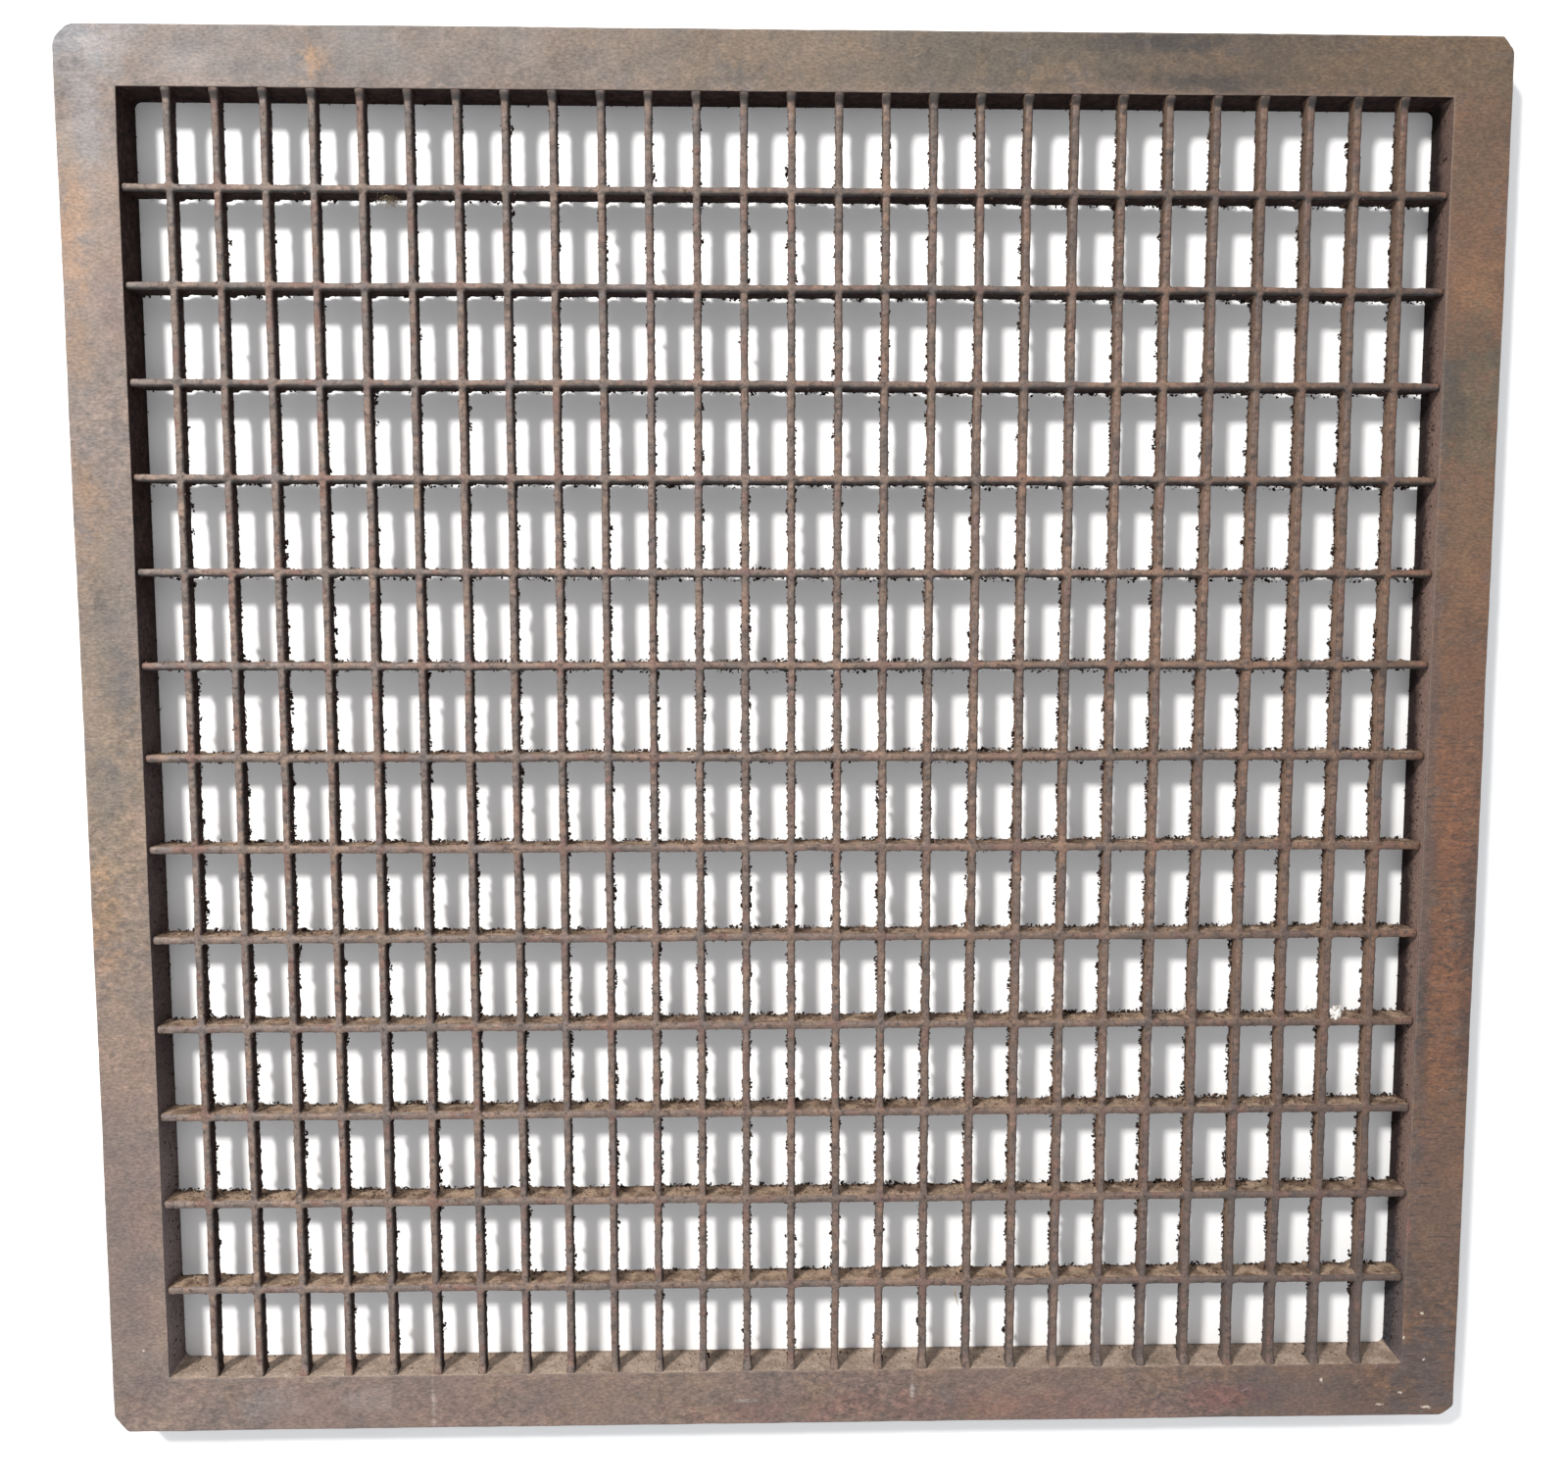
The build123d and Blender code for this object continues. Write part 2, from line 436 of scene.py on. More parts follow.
def wall_lint(seed):
    """Crumbs and threads on the rim's inner walls: lint on the front one, crust on the others."""
    rng = np.random.default_rng(seed)
    shells = []
    for axis, sign, per_metre in WALLS:
        material = LINT if (axis, sign) == (1, -1) else CRUST
        count = int(per_metre * 2 * HALF_OPENING)
        s = rng.uniform(-HALF_OPENING, HALF_OPENING, count) * 0.99
        z = RIM_LOW.z + 1.9 * MM + (FACE_Z - 8.0 * MM - RIM_LOW.z) * rng.random(count) ** 1.5
        size = (0.22 + 0.45 * rng.random(count) ** 2) * MM
        near_rear = 1 - rise(z, RIM_LOW.z + 2 * MM, RIM_LOW.z + 5 * MM)
        inside = sign * (HALF_OPENING - rng.uniform(0.0, 0.35, count) * MM * (1 + 2 * near_rear))
        places = np.stack([inside, s, z] if axis == 0 else [s, inside, z], 1)
        shells.append(crumbs(places, size, material, rng))
        count = count // CRUMBS_PER_WALL_FIBRE
        root, s = places[:count], s[:count]
        inward = -sign * rng.uniform(0.1, 0.8, count)
        level = rng.normal(0, 0.7, count)
        steep = np.abs(rng.normal(0, 0.6, count))
        heading = np.stack([inward, level, steep] if axis == 0 else [level, inward, steep], 1)
        lengths = rng.uniform(0.8, 2.4, count) * MM
        shells.append(fibres(root, heading, lengths, SHORT_FIBRE, material, rng))
    return shells


# ---- Fluff, cobweb and straw -------------

def tuft(centre, spread, lumps, lump_size, threads, reach, material, seed):
    """A soft tuft: lumps scattered about a centre, and threads that curl out of it. Places and sizes
    are in mm, and the centre's height is from the crown's level."""
    rng = np.random.default_rng(seed)
    middle = np.array(centre) * MM
    middle[2] += CROWN_Z
    places = middle + rng.normal(0, 1, (lumps, 3)) * np.array(spread) * MM
    shells = [crumbs(places, rng.uniform(0.5, 1.0, lumps) * lump_size * MM, material, rng)]
    roots = middle + rng.normal(0, 1, (threads, 3)) * np.array(spread) * MM
    headings = rng.normal(0, 1, (threads, 3)) * np.array((1, 1, 0.4))
    lengths = rng.uniform(0.4, 1.0, threads) * reach * MM
    shells.append(fibres(roots, headings, lengths, SOFT_FIBRE, material, rng))
    return shells


# How far a tuft spreads each way, its lumps and their size, its threads and their length, in mm.
COTTON_TUFT = ((1.3, 1.6, 0.5), 110, 1.5, 70, 2.6)
COBWEB_TUFT = ((3.6, 0.9, 2.2), 25, 0.6, 130, 6.0)
STRAW_LENGTH, STRAW_THICKNESS = 15.0 * MM, 0.75 * MM
COTTON_SEED, COBWEB_SEED, STRAW_SEED = 31, 32, 33


def debris_on(node, place):
    """The odd bits that hang on one bar: cotton and straw at the front, a cobweb at the back."""
    here = place / MM
    if node == LONG_BARS[-2]:
        return tuft((here + 5.6, -145.0, -1.4), *COTTON_TUFT, COTTON, COTTON_SEED)
    if node == CROSS_BARS[-1]:
        return tuft((-211.6, here - 3.6, -7.0), *COBWEB_TUFT, COBWEB, COBWEB_SEED)
    if node == CROSS_BARS[0]:
        rng = np.random.default_rng(STRAW_SEED)
        start = np.array([(91.5, here - 1.0, -1.5)]) * MM + np.array([(0, 0, CROWN_Z)])
        heading, length = np.array([(0.25, -1.0, -0.05)]), np.array([STRAW_LENGTH])
        return [fibres(start, heading, length, STRAW_THICKNESS, COBWEB, rng)]
    return []


# ---- Bars --------------------------------

CROWN_STEPS = 7
SIDE_STEPS = 5
REAR_STEPS = 2
CROWN_RISE = 1.3 * MM
CROWN_FULLNESS = 0.72  # 1 is a half ellipse, and less is flatter on top
REAR_SHARE = 0.80  # width at the rear edge over width at the crown
STATION_STEP = 0.65 * MM
JUNCTION_RADIUS = 1.3 * MM
RUST_GROWTH = 0.16 * MM  # rust thickens each side of a bar by this
REAR_GROWTH = 0.9 * MM  # and its rear edge by this
BURIED_END = 0.8 * MM  # how far a bar's end runs into the rim's wall
TIP_LENGTH = 2.2 * MM  # a cross bar's crown rounds over where it meets the wall, over this
TIP_DROP = 1.1 * MM  # length and by this much
LIFT_LENGTH = 6.0 * MM  # a long bar's crown runs up to the rim instead, over this length
TIP_LIFT = 1.3 * MM  # and by this much
TIP_NARROWING = 0.3  # share by which a cross bar narrows there, or a long bar widens
# Layers of smooth noise, each (strength, size of its features).
WANDER = ((0.22 * MM, 60 * MM), (0.10 * MM, 14 * MM))
SWELL = ((0.05, 12 * MM), (0.04, 4.5 * MM))
ROUGHNESS = ((0.10 * MM, 2.6 * MM), (0.09 * MM, 1.3 * MM))
REAR_CRUST, REAR_LUMPS = (0.35 * MM, 2.4 * MM), (1.8 * MM, 1.9 * MM)
LUMP_LEVEL = 0.12  # lumps stand only where their noise is over this


def bar_profile(width, rear_z):
    """Points round a bar's section as (across, height), and how far each is down the side, 0 to 1."""
    half = width / 2
    shoulder = CROWN_Z - CROWN_RISE
    rear_half = half * REAR_SHARE
    points, down = [], []
    for k in range(CROWN_STEPS + 1):
        angle = math.pi * k / CROWN_STEPS
        across = math.copysign(abs(math.cos(angle)) ** CROWN_FULLNESS, math.cos(angle))
        points.append((half * across, shoulder + CROWN_RISE * math.sin(angle) ** CROWN_FULLNESS))
        down.append(0.0)
    steps = [k / SIDE_STEPS for k in range(1, SIDE_STEPS + 1)]
    side = [(half - (half - rear_half) * t, shoulder + (rear_z - shoulder) * t) for t in steps]
    points += [(-across, z) for across, z in side]
    points += [(-rear_half + 2 * rear_half * k / REAR_STEPS, rear_z) for k in range(1, REAR_STEPS)]
    points += side[::-1]
    down += steps + [1.0] * (REAR_STEPS - 1) + steps[::-1]
    return np.array(points), np.array(down)


def junction_widening(s, crossings, crossing_width):
    """How much a bar swells beside each bar that it crosses, as a cast corner does."""
    extra = np.zeros(len(s))
    for c in crossings:
        gap = np.abs(s - c) - crossing_width / 2
        near = gap < JUNCTION_RADIUS
        t = np.clip(gap[near] / JUNCTION_RADIUS, 0, 1)
        extra[near] = np.maximum(extra[near], JUNCTION_RADIUS * (1 - np.sqrt(1 - (1 - t) ** 2)))
    return extra


def rough_bar(along, place, width, rear_z, crossings, crossing_width, seed):
    """One bar with a worn crown, wavy sides and a swollen, lumpy rear edge."""
    end = HALF_OPENING + BURIED_END
    count = int(round(2 * end / STATION_STEP)) + 1
    s = np.linspace(end, -end, count) if along == 1 else np.linspace(-end, end, count)
    profile, down = bar_profile(width, rear_z - REAR_GROWTH)
    around = len(profile)
    half = width / 2
    grown = (half + RUST_GROWTH) / half

    along_line = np.stack([s, 0 * s, 0 * s], 1)
    wander = layers(along_line, WANDER, seed)
    swell = 1 + layers(along_line, SWELL, seed + 2)
    widening = junction_widening(s, crossings, crossing_width)
    if along == 0:
        into_tip = np.clip((np.abs(s) - (HALF_OPENING - TIP_LENGTH)) / TIP_LENGTH, 0, 1)
        tip = 1 - np.sqrt(1 - into_tip ** 2)
        fall = TIP_DROP
    else:
        tip = rise(np.abs(s), HALF_OPENING - LIFT_LENGTH, HALF_OPENING)
        fall = -TIP_LIFT

    run = np.repeat(s, around)
    across = np.tile(profile[:, 0], count)
    level = np.tile(profile[:, 1], count)
    depth = np.tile(down, count)
    at_edge = np.sign(across) * np.minimum(1, np.abs(across) / half)
    scale = grown * swell * (1 - TIP_NARROWING * tip * np.sign(fall))
    across = across * np.repeat(scale, around) + at_edge * np.repeat(widening, around)
    level = level - np.repeat(fall * tip, around) * (1 - depth)

    # The outward direction at each point, for the roughness.
    over_shoulder = (profile[:, 1] - (CROWN_Z - CROWN_RISE)) / CROWN_RISE
    out_across = np.tile(profile[:, 0] / half, count)
    out_up = np.tile(np.where(down == 0, over_shoulder, 0), count)
    out_up = np.where(depth == 1.0, -0.8, out_up)
    length = np.sqrt(out_across ** 2 + out_up ** 2) + 1e-9
    out_across, out_up = out_across / length, out_up / length

    points = np.stack([run, across + place, level], 1)
    rough = layers(points, ROUGHNESS, seed + 4)
    crust = layers(points, [REAR_CRUST], seed + 6)
    lumps = np.clip(noise(points, REAR_LUMPS[1], seed + 7) - LUMP_LEVEL, 0, None) * REAR_LUMPS[0]
    rear = np.clip((depth - 0.40) / 0.60, 0, 1)
    dirty = dirt(along, place, run)
    push = rough * (0.7 + 0.9 * dirty) + rear * (crust + lumps) * dirty
    across = across + out_across * push + np.repeat(wander, around)
    level = np.maximum(level + out_up * push, RIM_LOW.z + 0.5 * MM)
    walls, *caps = tube_faces(count, around, False)
    on_crown = np.tile(np.arange(around) < CROWN_STEPS, count - 1)
    faced = [(walls[on_crown], BAR_IRON), (walls[~on_crown], BAR_SIDE)]
    faced += [(cap, BAR_SIDE) for cap in caps]
    return on_bar(along, place, run, across, level), faced


# ---- Rim ---------------------------------

SIDE_STATIONS = 200
CORNER_STATIONS = 13
WALL_STEPS = 12  # down the inner wall
FRONT_INNER_RADIUS = 0.9 * MM
REAR_INNER_RADIUS = 4.0 * MM
FLANGE_THICKNESS = 4.8 * MM
WALL_THICKNESS = 5.0 * MM
WALL_REAR_THICKNESS = 4.0 * MM
INNER_ROUND, OUTER_ROUND, UNDER_ROUND = 0.7 * MM, 1.0 * MM, 0.6 * MM
# Each outer corner as worn, in mm: (cut along the side before it, cut along the side after it,
# blend), counter-clockwise seen from above, starting between the right side and the back.
CORNERS = ((7.5, 5.0, 4.0), (8.0, 8.0, 9.0), (9.0, 7.0, 3.0), (7.0, 5.0, 4.5))


def corner_curve(cut_a, cut_b, blend, steps):
    """A clipped corner as distances along the two sides that meet there, both negative.
    The clip runs from (-cut_a, 0) to (0, -cut_b), and both its ends are blended."""
    start = np.array((-cut_a - blend / 2, 0.0))
    a, b = np.array((-cut_a, 0.0)), np.array((0.0, -cut_b))
    end = np.array((0.0, -cut_b - blend / 2))
    middle = (a + b) / 2
    out = []
    for t in np.linspace(0, 2, steps):
        p0, p1, p2 = (start, a, middle) if t < 1 else (middle, b, end)
        u = t if t < 1 else t - 1
        out.append((1 - u) ** 2 * p0 + 2 * u * (1 - u) * p1 + u * u * p2)
    return np.array(out)


def round_corner(radius, steps):
    angles = np.linspace(0, math.pi / 2, steps)
    return np.stack([-radius + radius * np.sin(angles), -radius + radius * np.cos(angles)], 1)


def outline(half, corners):
    """Closed outline, counter-clockwise from the right side. Each side has the same stations."""
    travels = [np.array(t, float) for t in ((0, 1), (-1, 0), (0, -1), (1, 0))]
    points = []
    for q, travel in enumerate(travels):
        normal = np.array((travel[1], -travel[0]))
        onward = travels[(q + 1) % 4]
        start = -half - corners[q - 1][-1][1]
        stop = half + corners[q][0][0]
        for t in np.linspace(start, stop, SIDE_STATIONS, endpoint=False):
            points.append(travel * t + normal * half)
        for back_along, back_onward in corners[q]:
            points.append((travel + normal) * half + travel * back_along - onward * back_onward)
    return np.array(points)


def rim_section():
    """(distance out from the opening, height) round the section, from the inner wall's rear edge."""
    rear, under = RIM_LOW.z, FACE_Z - FLANGE_THICKNESS
    quarter = np.linspace(0, math.pi / 2, 5)
    points = [(0.0, z) for z in np.linspace(rear + 0.5 * MM, FACE_Z - INNER_ROUND, WALL_STEPS + 1)]
    for angle in quarter[1:]:
        out = INNER_ROUND * (1 - math.cos(angle))
        points.append((out, FACE_Z - INNER_ROUND * (1 - math.sin(angle))))
    points += [(out, FACE_Z) for out in np.linspace(INNER_ROUND, BORDER - OUTER_ROUND, 22)[1:-1]]
    for angle in quarter:
        out = BORDER - OUTER_ROUND * (1 - math.sin(angle))
        points.append((out, FACE_Z - OUTER_ROUND * (1 - math.cos(angle))))
    points.append((BORDER, (FACE_Z + under) / 2))
    points.append((BORDER, under + UNDER_ROUND))
    points.append((BORDER - UNDER_ROUND, under))
    flat = np.linspace(BORDER - UNDER_ROUND, WALL_THICKNESS + UNDER_ROUND, 9)
    points += [(out, under) for out in flat[1:]]
    for t in np.linspace(0, 1, 7):
        out = WALL_THICKNESS + (WALL_REAR_THICKNESS - WALL_THICKNESS) * t
        points.append((out, under - UNDER_ROUND + (rear - under + 2 * UNDER_ROUND) * t))
    points.append((WALL_REAR_THICKNESS - UNDER_ROUND, rear))
    points.append((0.5 * MM, rear))
    return points


def rough_rim():
    """The flange and its wall in one ring, with a worn face and uneven outer edges."""
    section = rim_section()
    outer = outline(HALF_SIDE, [corner_curve(*c, CORNER_STATIONS) * MM for c in CORNERS])
    rings = []
    for out, z in section:
        t = (FACE_Z - z) / (FACE_Z - RIM_LOW.z)
        radius = FRONT_INNER_RADIUS + (REAR_INNER_RADIUS - FRONT_INNER_RADIUS) * t
        inner = outline(HALF_OPENING, [round_corner(radius, CORNER_STATIONS)] * 4)
        flat = inner + (outer - inner) * out / BORDER
        rings.append(np.column_stack([flat, np.full(len(flat), z)]))
    grid = np.stack(rings, 1)
    stations, around = grid.shape[:2]
    points = grid.reshape(-1, 3)
    out = np.tile([p[0] for p in section], stations)

    # The face sags a little between its high spots, and is pitted.
    at_face = np.clip((points[:, 2] - (FACE_Z - 1.2 * MM)) / (1.2 * MM), 0, 1)
    sag = 0.20 * MM * (noise(points, 0.07, 11) - 1) + 0.10 * MM * (noise(points, 0.018, 12) - 1)
    pits = 0.06 * MM * (noise(points, 0.0045, 13) - 1)
    # The outer edge wanders inwards, and the inner walls are wavy.
    size = np.abs(points[:, :2])
    outward = np.where(size > size[:, ::-1] - 4 * MM, np.sign(points[:, :2]), 0.0)
    plan = points * [1, 1, 0]
    edge = rise(out, 0.90 * BORDER, BORDER)
    wander = 0.26 * MM * (noise(plan, 0.05, 14) - 1) + 0.14 * MM * (noise(plan, 0.009, 15) - 1)
    wall = (1 - rise(out, 0.0, 1.5 * MM)) * (points[:, 2] > RIM_LOW.z + 1 * MM)
    waves = 0.10 * MM * noise(points, 0.012, 16) + 0.09 * MM * noise(points, 0.004, 17)
    moved = points.copy()
    moved[:, :2] += outward * (edge * wander - wall * waves)[:, None]
    moved[:, 2] += at_face * (sag + pits)
    faces = tube_faces(stations, around, True)[0]
    on_wall = np.tile(np.arange(around) < WALL_STEPS, stations)
    return moved, [(faces[~on_wall], RIM_IRON), (faces[on_wall], RIM_WALL)]


# ---- Materials ---------------------------

def linear(red, green, blue):
    """Screen colour, 0 to 255, as a linear RGBA."""
    out = []
    for c in (red, green, blue):
        c = c / 255
        out.append(c / 12.92 if c <= 0.04045 else ((c + 0.055) / 1.055) ** 2.4)
    return (*out, 1.0)


MIX_SHARE, MIX_A, MIX_B, MIX_RESULT = 0, 6, 7, 2  # the colour sockets of a Mix node


class Nodes:
    """Short calls for building one material's node tree."""

    def __init__(self, name):
        self.material = bpy.data.materials.new(name)
        self.material.use_nodes = True
        self.tree = self.material.node_tree
        self.tree.nodes.clear()
        self.shader = self.made("BsdfPrincipled", {})
        self.made("OutputMaterial", {"Surface": self.shader.outputs["BSDF"]})
        self.place = self.made("TexCoord", {}).outputs["Object"]
        self.normal = self.made("NewGeometry", {}).outputs["Normal"]

    def link(self, a, b):
        self.tree.links.new(a, b)

    def put(self, socket, value):
        if isinstance(value, bpy.types.NodeSocket):
            self.link(value, socket)
        else:
            socket.default_value = value

    def made(self, kind, inputs, **settings):
        """A new node of that kind with these settings and inputs."""
        node = self.tree.nodes.new("ShaderNode" + kind)
        for name, value in settings.items():
            setattr(node, name, value)
        for socket, value in inputs.items():
            self.put(node.inputs[socket], value)
        return node

    def math(self, operation, a, b=0.0):
        return self.made("Math", {0: a, 1: b}, operation=operation).outputs[0]

    def product(self, first, *others):
        for other in others:
            first = self.math("MULTIPLY", first, other)
        return first

    def axes(self, vector):
        return self.made("SeparateXYZ", {0: vector}).outputs

    def noise(self, scale, detail, rough, vector=None):
        inputs = {"Vector": vector or self.place, "Scale": scale, "Detail": detail, "Roughness": rough}
        return self.made("TexNoise", inputs).outputs["Fac"]

    def stretched(self, sizes, detail, rough, degrees=0.0):
        """Noise with features of these sizes along each axis, in metres, turned on the plan."""
        inputs = {"Vector": self.place, "Scale": sizes, "Rotation": (0, 0, math.radians(degrees))}
        vector = self.made("Mapping", inputs, vector_type="TEXTURE").outputs[0]
        return self.noise(1.0, detail, rough, vector)

    def ramp(self, value, low, high, first=0.0, last=1.0):
        inputs = {"Value": value, "From Min": low, "From Max": high, "To Min": first, "To Max": last}
        return self.made("MapRange", inputs, interpolation_type="SMOOTHSTEP").outputs[0]

    def mix(self, share, a, b):
        inputs = {MIX_SHARE: share, MIX_A: a, MIX_B: b}
        return self.made("Mix", inputs, data_type="RGBA").outputs[MIX_RESULT]

    def stops(self, x, tones):
        """A colour that changes smoothly through the given (place in mm, colour) pairs."""
        colour = tones[0][1]
        for (here, _), (there, tone) in zip(tones, tones[1:]):
            colour = self.mix(self.ramp(x, here * MM, there * MM), colour, tone)
        return colour

    def times(self, colour, tint):
        return self.made("VectorMath", {0: colour, 1: tint}, operation="MULTIPLY").outputs[0]

    def shaded(self, colour, factor):
        return self.made("VectorMath", {0: colour, "Scale": factor}, operation="SCALE").outputs[0]

    def bump(self, height, distance, strength, below=None):
        """Bumps of that height, on top of the ones below if there are any."""
        inputs = {"Strength": strength, "Distance": distance, "Height": height}
        if below is not None:
            inputs["Normal"] = below
        return self.made("Bump", inputs).outputs[0]

    def zone(self, x, y, oval, ragged):
        """1 in the middle of an oval on the plan and 0 outside it, with a ragged edge."""
        centre_x, centre_y, reach_x, reach_y = (size * MM for size in oval)
        across = self.math("DIVIDE", self.math("SUBTRACT", x, centre_x), reach_x)
        along = self.math("DIVIDE", self.math("SUBTRACT", y, centre_y), reach_y)
        squares = self.math("ADD", self.product(across, across), self.product(along, along))
        distance = self.math("ADD", self.math("SQRT", squares), ragged)
        return self.ramp(distance, 1.25, 0.25)

    def finished(self, colour, roughness, gloss, normal):
        """The material, with everything joined to its shader."""
        self.link(colour, self.shader.inputs["Base Color"])
        self.link(roughness, self.shader.inputs["Roughness"])
        self.shader.inputs["Specular IOR Level"].default_value = gloss
        self.link(normal, self.shader.inputs["Normal"])
        return self.material


LIT_SIDE_BROWN = linear(106, 86, 73)
EDGE_SHADE_BROWN = linear(64, 50, 43)
DARK_SLATE = linear(58, 54, 56)
BLUE_BROWN = linear(72, 61, 58)
PAINTED_SHEEN_SLATE = linear(116, 118, 124)
SLATE = linear(66, 66, 70)
MAUVE = linear(96, 80, 76)
OLIVE = linear(70, 62, 50)
OCHRE = linear(108, 84, 58)
GOLD = linear(132, 98, 64)
RUST = linear(104, 64, 42)
RED_RUST = linear(116, 62, 48)
TAN = linear(112, 99, 80)
BLACK_STAIN = linear(38, 35, 34)
PIT = linear(44, 33, 29)
WORN_EDGE = linear(128, 118, 112)

# The whole grate is paler and greyer at its -X side and browner at its +X side: (mm, colour).
# This is partly browner rust towards +X and partly painted light falloff and sheen, brighter towards
# the lamp at -X.
TONE_AND_LIGHT_ACROSS = (
    (-350, linear(107, 92, 83)),
    (-100, linear(100, 84, 75)),
    (150, linear(97, 79, 68)),
    (290, linear(91, 71, 59)),
    (360, linear(88, 63, 46)),
)
# The flange's +Y side is darker than that.
TONE_BACK = (
    (-370, linear(100, 91, 87)),
    (-200, linear(91, 81, 75)),
    (20, linear(87, 75, 64)),
    (230, linear(73, 60, 48)),
    (350, linear(83, 65, 48)),
)
# Ovals on the face, each given first by its centre and its reach along X and Y, in mm.
# Stains: then the colour and the strength.
STAINS = (
    # Painted sheen: the two pale slate ovals at the -X, +Y corner stand in for the lamp's glossy
    # reflection there.
    (-376, 376, 30, 20, PAINTED_SHEEN_SLATE, 0.35),
    (-366, 330, 10, 30, PAINTED_SHEEN_SLATE, 0.30),
    (-249, 362, 9, 12, GOLD, 0.55),
    (190, 376, 50, 6, BLACK_STAIN, 0.75),
    (215, 356, 45, 5, BLACK_STAIN, 0.65),
    (120, 366, 60, 22, OLIVE, 0.45),
    (340, 366, 60, 22, OLIVE, 0.30),
    (366, 320, 24, 40, OLIVE, 0.25),
    (366, 250, 13, 20, GOLD, 0.18),
    (364, 190, 24, 44, OLIVE, 0.85),
    (356, 185, 8, 30, BLACK_STAIN, 0.40),
    (366, 130, 24, 50, OCHRE, 0.12),
    (364, 135, 24, 44, OLIVE, 0.28),
    (366, -10, 24, 70, RUST, 0.35),
    (377, -125, 7, 90, BLACK_STAIN, 0.85),
    (353, -140, 5, 80, BLACK_STAIN, 0.70),
    (366, -120, 16, 100, RUST, 0.50),
    (351, -70, 4.5, 280, BLUE_BROWN, 0.55),
    (347, -270, 4, 14, RED_RUST, 0.70),
    (366, -265, 24, 70, BLUE_BROWN, 0.45),
    (364, -352, 26, 32, DARK_SLATE, 0.60),
    (300, -368, 60, 22, BLUE_BROWN, 0.55),
    (366, -368, 22, 16, BLUE_BROWN, 0.50),
    (248, -368, 22, 8, RED_RUST, 0.60),
    (110, -372, 150, 10, RED_RUST, 0.30),
    (225, -370, 60, 16, SLATE, 0.35),
    (160, -366, 64, 22, DARK_SLATE, 0.22),
    (-250, -366, 140, 22, MAUVE, 0.60),
    (100, -366, 140, 22, MAUVE, 0.40),
    (-366, -260, 24, 90, MAUVE, 0.55),
    (-366, 10, 24, 125, TAN, 0.45),
    (-373, 130, 11, 34, GOLD, 0.32),
    (-374, 290, 9, 44, GOLD, 0.38),
    (-374, 215, 8, 24, GOLD, 0.28),
    (-373, -95, 10, 34, GOLD, 0.34),
    (-358, 40, 9, 30, SLATE, 0.40),
    (-368, -20, 10, 16, SLATE, 0.35),
    (-356, 250, 8, 34, MAUVE, 0.50),
    (-362, 60, 16, 60, SLATE, 0.30),
    (-202, -364, 1.6, 12, WORN_EDGE, 0.80),
    (-236, -364, 18, 9, WORN_EDGE, 0.30),
    (-295, -364, 20, 9, WORN_EDGE, 0.30),
    (69, -361, 1.4, 7, WORN_EDGE, 0.90),
    (-26, -366.6, 6, 0.9, WORN_EDGE, 0.70),
)
# Pale chips and specks.
CHIPS = (
    (-362.7, -333.0, 0.8, 1.0),
    (360.0, -319.5, 1.0, 0.9),
    (303.4, -358.8, 1.0, 1.5),
    (349.2, -366.8, 1.3, 0.6),
    (350.1, -333.9, 0.7, 1.0),
    (362.3, -347.0, 0.8, 0.8),
    (337.5, -373.7, 1.8, 0.7),
    (364.6, -375.6, 3.0, 1.1),
)
# Where the face is smooth: then the strength.
SMOOTH = (
    (-366, 280, 30, 110, 1.0),
    (-260, 366, 150, 26, 1.0),
    (-366, -230, 26, 110, 1.0),
    (320, 366, 70, 26, 0.7),
    (366, 230, 26, 160, 0.9),
    (0, 366, 420, 24, 0.7),
)
# Where it is pitted most: then the strength.
PITTED = (
    (366, -125, 22, 110, 1.0),
    (-366, 15, 24, 125, 0.9),
    (368, -130, 26, 125, 1.0),
    (170, 368, 150, 22, 0.8),
    (90, -369, 260, 20, 0.7),
)
CHIP_TONE = linear(168, 158, 144)
BACK_BLEND = 20 * MM  # over this much of the border the tones change to TONE_BACK
SMOOTHING = 0.8  # share of the mottling and pits that a smooth patch hides

# Tones that are mixed by noise, depth or place: dust, painted shade and painted light on the sides,
# painted reflected light on shaded walls, and crowns.
LEDGE_DUST = (linear(92, 74, 62), linear(148, 127, 108))
WALL_DUST = (linear(127, 111, 98), linear(151, 134, 120))
SIDE_SHADE_BLACK = (linear(28, 18, 18), linear(52, 37, 34))
REFLECTED_LIGHT_GREY = linear(103, 91, 91)
WALL_TONES = (linear(110, 90, 82), linear(38, 29, 29))
BAR_TONES = (linear(120, 98, 84), linear(106, 86, 73))
CROWN_SLATE = (linear(98, 88, 86), linear(62, 56, 56))
CROWN_RED, CROWN_SPECK = linear(104, 71, 60), linear(44, 33, 30)
SURFACE_GLOSS, CRUSTED_GLOSS, LOOSE_GLOSS = 0.5, 0.1, 0.15


def clouded(n, colour, size, warmth, low, high, along_x=1.0):
    """The colour with soft patches of that size in metres, greyer and darker or warmer and paler."""
    field = n.stretched((size * along_x, size, size), 4, 0.62)
    cool, warm = (1 - warmth, 1.0, 1 + warmth, 1.0), (1 + warmth, 1.0, 1 - warmth, 1.0)
    tint = n.mix(n.ramp(field, 0.34, 0.66), cool, warm)
    return n.shaded(n.times(colour, tint), n.ramp(field, 0.32, 0.68, low, high))


